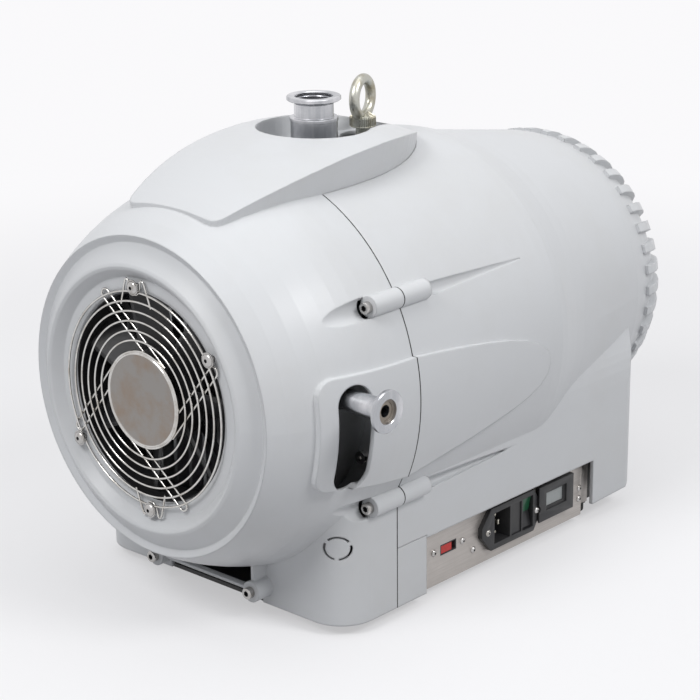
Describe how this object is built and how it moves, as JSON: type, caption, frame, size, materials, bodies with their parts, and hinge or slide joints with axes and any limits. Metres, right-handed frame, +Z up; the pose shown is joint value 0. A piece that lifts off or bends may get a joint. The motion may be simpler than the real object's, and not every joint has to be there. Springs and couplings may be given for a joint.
{
  "type": "dry scroll vacuum pump",
  "caption": "Dry scroll vacuum pump in moulded cowlings, with a guarded fan, flanged inlet and exhaust ports, a lifting eye and a steel control panel.",
  "frame": {"origin": "on the floor, at the centre of the four feet's holes", "axes": "+Z up, +Y from the fan end to the rear grille along the pump's axis, +X towards the control panel and the exhaust"},
  "size_m": [0.3225, 0.4883, 0.365],
  "materials": {
    "cowling_plastic": "satin",
    "black_plastic": "satin",
    "guard_chrome": "polished",
    "disc_steel": "brushed",
    "screw_steel": "polished",
    "port_steel": "turned",
    "eye_zinc": "zinc plated",
    "panel_steel": "satin",
    "base_steel": "satin",
    "foot_rubber": "matt",
    "cast_alloy": "as cast",
    "seal_plastic": "matt",
    "shaft_steel": "ground",
    "bearing_steel": "polished",
    "weight_iron": "as cast",
    "motor_alloy": "as cast",
    "stator_steel": "laminated",
    "winding_copper": "enamelled",
    "capacitor_white": "gloss",
    "window_clear": "gloss",
    "rocker_green": "gloss",
    "selector_red": "gloss",
    "pin_brass": "plated"
  },
  "bodies": {
    "frame": {"base_frame": "base_steel", "rubber_feet": "foot_rubber", "rear_support": "base_steel", "control_panel": "panel_steel", "panel_screws": "screw_steel", "front_cowling": "cowling_plastic", "rear_cowling": "cowling_plastic", "cowling_screws": "screw_steel", "inlet_port": "port_steel", "exhaust_port": "port_steel", "lifting_eye": "eye_zinc", "fan_guard": "guard_chrome", "guard_disc": "disc_steel", "guard_screws": "guard_chrome", "fan_frame": "black_plastic", "fan_motor": "winding_copper", "fixed_scroll": "cast_alloy", "scroll_screws": "screw_steel", "fixed_tip_seal": "seal_plastic", "pump_housing": "cast_alloy", "front_bearing": "bearing_steel", "rear_bearing": "bearing_steel", "idler_bearings": "bearing_steel", "motor_housing": "motor_alloy", "motor_end_bell": "motor_alloy", "motor_stator": "stator_steel", "motor_windings": "winding_copper", "run_capacitor": "capacitor_white", "mains_inlet": "black_plastic", "mains_pins": "pin_brass", "hour_meter": "black_plastic", "meter_window": "window_clear", "selector_frame": "black_plastic"},
    "fan": {"fan_rotor": "black_plastic"},
    "crank": {"crankshaft": "shaft_steel", "counterweight": "weight_iron", "motor_rotor": "stator_steel", "motor_fan": "black_plastic"},
    "orbiter": {"orbiting_scroll": "cast_alloy", "orbiting_tip_seal": "seal_plastic", "crank_bearing": "bearing_steel"},
    "idler_left": {"idler_crank_top_left": "shaft_steel"},
    "idler_right": {"idler_crank_top_right": "shaft_steel"},
    "idler_low": {"idler_crank_bottom": "shaft_steel"},
    "rocker": {"power_rocker": "rocker_green"},
    "drawer": {"fuse_drawer": "black_plastic", "fuse_links": "bearing_steel"},
    "selector": {"voltage_selector": "selector_red"}
  },
  "joints": [
    {"name": "fan_spin", "type": "hinge", "parent": "frame", "child": "fan", "pos_m": [0, -0.215, 0.17], "axis": [0, 1, 0], "continuous": true},
    {"name": "crankshaft_spin", "type": "hinge", "parent": "frame", "child": "crank", "pos_m": [0, 0, 0.17], "axis": [0, 1, 0], "continuous": true},
    {"name": "crank_pin_turn", "type": "hinge", "parent": "crank", "child": "orbiter", "pos_m": [0, -0.1, 0.17555], "axis": [0, 1, 0], "continuous": true},
    {"name": "idler_left_spin", "type": "hinge", "parent": "frame", "child": "idler_left", "pos_m": [-0.07275, -0.09, 0.212], "axis": [0, 1, 0], "continuous": true},
    {"name": "idler_right_spin", "type": "hinge", "parent": "frame", "child": "idler_right", "pos_m": [0.07275, -0.09, 0.212], "axis": [0, 1, 0], "continuous": true},
    {"name": "idler_low_spin", "type": "hinge", "parent": "frame", "child": "idler_low", "pos_m": [0, -0.09, 0.086], "axis": [0, 1, 0], "continuous": true},
    {"name": "power_rock", "type": "hinge", "parent": "frame", "child": "rocker", "pos_m": [0.1195, 0.039, 0.032], "axis": [0, 1, 0], "range_deg": [-8, 8]},
    {"name": "fuse_drawer_slide", "type": "slide", "parent": "frame", "child": "drawer", "axis": [1, 0, 0], "range_m": [0, 0.018]},
    {"name": "voltage_select", "type": "slide", "parent": "frame", "child": "selector", "axis": [0, 1, 0], "range_m": [0, 0.003]}
  ],
  "couplings": [
    {"joint": "crank_pin_turn", "follows": "crankshaft_spin", "ratio": -1},
    {"joint": "idler_left_spin", "follows": "crankshaft_spin", "ratio": 1},
    {"joint": "idler_right_spin", "follows": "crankshaft_spin", "ratio": 1},
    {"joint": "idler_low_spin", "follows": "crankshaft_spin", "ratio": 1}
  ]
}
